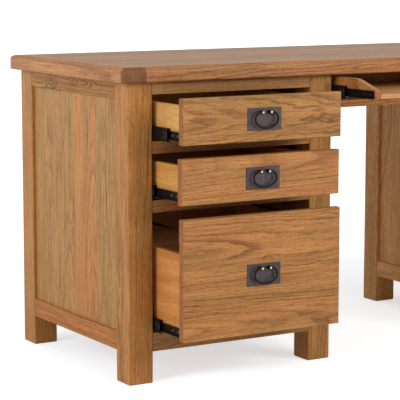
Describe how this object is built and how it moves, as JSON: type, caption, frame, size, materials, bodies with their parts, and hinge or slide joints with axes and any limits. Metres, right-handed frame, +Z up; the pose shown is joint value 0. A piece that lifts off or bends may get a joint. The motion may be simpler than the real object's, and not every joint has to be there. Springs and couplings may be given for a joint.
{
  "type": "computer desk",
  "caption": "Solid oak double-pedestal computer desk with drawers, a cupboard and a sliding keyboard tray; bail handles, drawers and tray part-open.",
  "frame": {"origin": "middle of the whole footprint on the floor, with the drawers and the tray as stored", "axes": "+X to the sitter's right along the desktop, +Y from the front towards the back, +Z up"},
  "size_m": [1.788, 0.794, 0.78],
  "materials": {
    "oak": "clear satin lacquer over solid rustic oak",
    "pale_wood": "clear satin lacquer over pale softwood",
    "slide_steel": "satin black",
    "dark_pewter": "dark antique pewter, softly worn",
    "hinge_brass": "satin",
    "zinc_steel": "zinc plated",
    "catch_plastic": "matte"
  },
  "bodies": {
    "desk": {"desktop_boards": "oak", "desktop_end_boards": "oak", "left_legs": "oak", "left_side_rails": "oak", "left_side_panels": "oak", "left_cross_rails": "oak", "right_legs": "oak", "right_side_rails": "oak", "right_side_panels": "oak", "right_cross_rails": "oak", "back_panels": "oak", "kneehole_rail": "oak", "kneehole_apron": "oak", "battens": "pale_wood", "cupboard_boards": "pale_wood", "brackets": "zinc_steel", "bracket_screws": "zinc_steel", "cabinet_slides": "slide_steel", "cabinet_hinge_leaves": "hinge_brass", "door_catch": "catch_plastic"},
    "drawer_1": {"drawer_1_front": "oak", "drawer_1_box": "pale_wood", "drawer_1_slides": "slide_steel", "drawer_1_handle_plate": "dark_pewter", "drawer_1_handle_posts": "dark_pewter"},
    "drawer_1_middle_members": {"drawer_1_middle_slides": "slide_steel"},
    "drawer_1_handle": {"drawer_1_bail": "dark_pewter"},
    "drawer_2": {"drawer_2_front": "oak", "drawer_2_box": "pale_wood", "drawer_2_slides": "slide_steel", "drawer_2_handle_plate": "dark_pewter", "drawer_2_handle_posts": "dark_pewter"},
    "drawer_2_middle_members": {"drawer_2_middle_slides": "slide_steel"},
    "drawer_2_handle": {"drawer_2_bail": "dark_pewter"},
    "drawer_3": {"drawer_3_front": "oak", "drawer_3_box": "pale_wood", "drawer_3_slides": "slide_steel", "drawer_3_handle_plate": "dark_pewter", "drawer_3_handle_posts": "dark_pewter", "file_bars": "slide_steel"},
    "drawer_3_middle_members": {"drawer_3_middle_slides": "slide_steel"},
    "drawer_3_handle": {"drawer_3_bail": "dark_pewter"},
    "right_drawer": {"right_drawer_front": "oak", "right_drawer_box": "pale_wood", "right_drawer_slides": "slide_steel", "right_drawer_handle_plate": "dark_pewter", "right_drawer_handle_posts": "dark_pewter"},
    "right_drawer_middle_members": {"right_drawer_middle_slides": "slide_steel"},
    "right_drawer_handle": {"right_drawer_bail": "dark_pewter"},
    "tray": {"tray_board": "oak", "tray_sides": "oak", "tray_slides": "slide_steel"},
    "tray_middle_members": {"tray_middle_slides": "slide_steel"},
    "door": {"door_frame": "oak", "door_panel": "oak", "door_hinge_leaves": "hinge_brass", "door_handle_plate": "dark_pewter", "door_handle_posts": "dark_pewter"},
    "door_handle": {"door_bail": "dark_pewter"}
  },
  "joints": [
    {"name": "drawer_1_slide", "type": "slide", "parent": "desk", "child": "drawer_1", "axis": [0, -1, 0], "range_m": [-0.142, 0.288]},
    {"name": "drawer_1_middle_slide", "type": "slide", "parent": "desk", "child": "drawer_1_middle_members", "axis": [0, -1, 0], "range_m": [-0.0923, 0.1872]},
    {"name": "drawer_1_handle_swing", "type": "hinge", "parent": "drawer_1", "child": "drawer_1_handle", "pos_m": [-0.572, -0.3765, 0.6705], "axis": [-1, 0, 0], "range_deg": [0, 90]},
    {"name": "drawer_2_slide", "type": "slide", "parent": "desk", "child": "drawer_2", "axis": [0, -1, 0], "range_m": [-0.136, 0.294]},
    {"name": "drawer_2_middle_slide", "type": "slide", "parent": "desk", "child": "drawer_2_middle_members", "axis": [0, -1, 0], "range_m": [-0.068, 0.147]},
    {"name": "drawer_2_handle_swing", "type": "hinge", "parent": "drawer_2", "child": "drawer_2_handle", "pos_m": [-0.572, -0.3705, 0.5265], "axis": [-1, 0, 0], "range_deg": [0, 90]},
    {"name": "drawer_3_slide", "type": "slide", "parent": "desk", "child": "drawer_3", "axis": [0, -1, 0], "range_m": [-0.142, 0.288]},
    {"name": "drawer_3_middle_slide", "type": "slide", "parent": "desk", "child": "drawer_3_middle_members", "axis": [0, -1, 0], "range_m": [-0.071, 0.144]},
    {"name": "drawer_3_handle_swing", "type": "hinge", "parent": "drawer_3", "child": "drawer_3_handle", "pos_m": [-0.572, -0.3765, 0.29], "axis": [-1, 0, 0], "range_deg": [0, 90]},
    {"name": "right_drawer_slide", "type": "slide", "parent": "desk", "child": "right_drawer", "axis": [0, -1, 0], "range_m": [0, 0.43]},
    {"name": "right_drawer_middle_slide", "type": "slide", "parent": "desk", "child": "right_drawer_middle_members", "axis": [0, -1, 0], "range_m": [0, 0.215]},
    {"name": "right_drawer_handle_swing", "type": "hinge", "parent": "right_drawer", "child": "right_drawer_handle", "pos_m": [0.572, -0.2345, 0.6705], "axis": [-1, 0, 0], "range_deg": [0, 90]},
    {"name": "tray_slide", "type": "slide", "parent": "desk", "child": "tray", "axis": [0, -1, 0], "range_m": [-0.174, 0.146]},
    {"name": "tray_middle_slide", "type": "slide", "parent": "desk", "child": "tray_middle_members", "axis": [0, -1, 0], "range_m": [-0.087, 0.073]},
    {"name": "door_swing", "type": "hinge", "parent": "desk", "child": "door", "pos_m": [0.80025, -0.2263, 0.3465], "axis": [0, 0, 1], "range_deg": [0, 110]},
    {"name": "door_handle_swing", "type": "hinge", "parent": "door", "child": "door_handle", "pos_m": [0.3765, -0.2345, 0.491], "axis": [-1, 0, 0], "range_deg": [0, 90]}
  ],
  "couplings": [
    {"joint": "drawer_1_middle_slide", "follows": "drawer_1_slide", "ratio": 0.65},
    {"joint": "drawer_2_middle_slide", "follows": "drawer_2_slide", "ratio": 0.5},
    {"joint": "drawer_3_middle_slide", "follows": "drawer_3_slide", "ratio": 0.5},
    {"joint": "right_drawer_middle_slide", "follows": "right_drawer_slide", "ratio": 0.5},
    {"joint": "tray_middle_slide", "follows": "tray_slide", "ratio": 0.5}
  ]
}
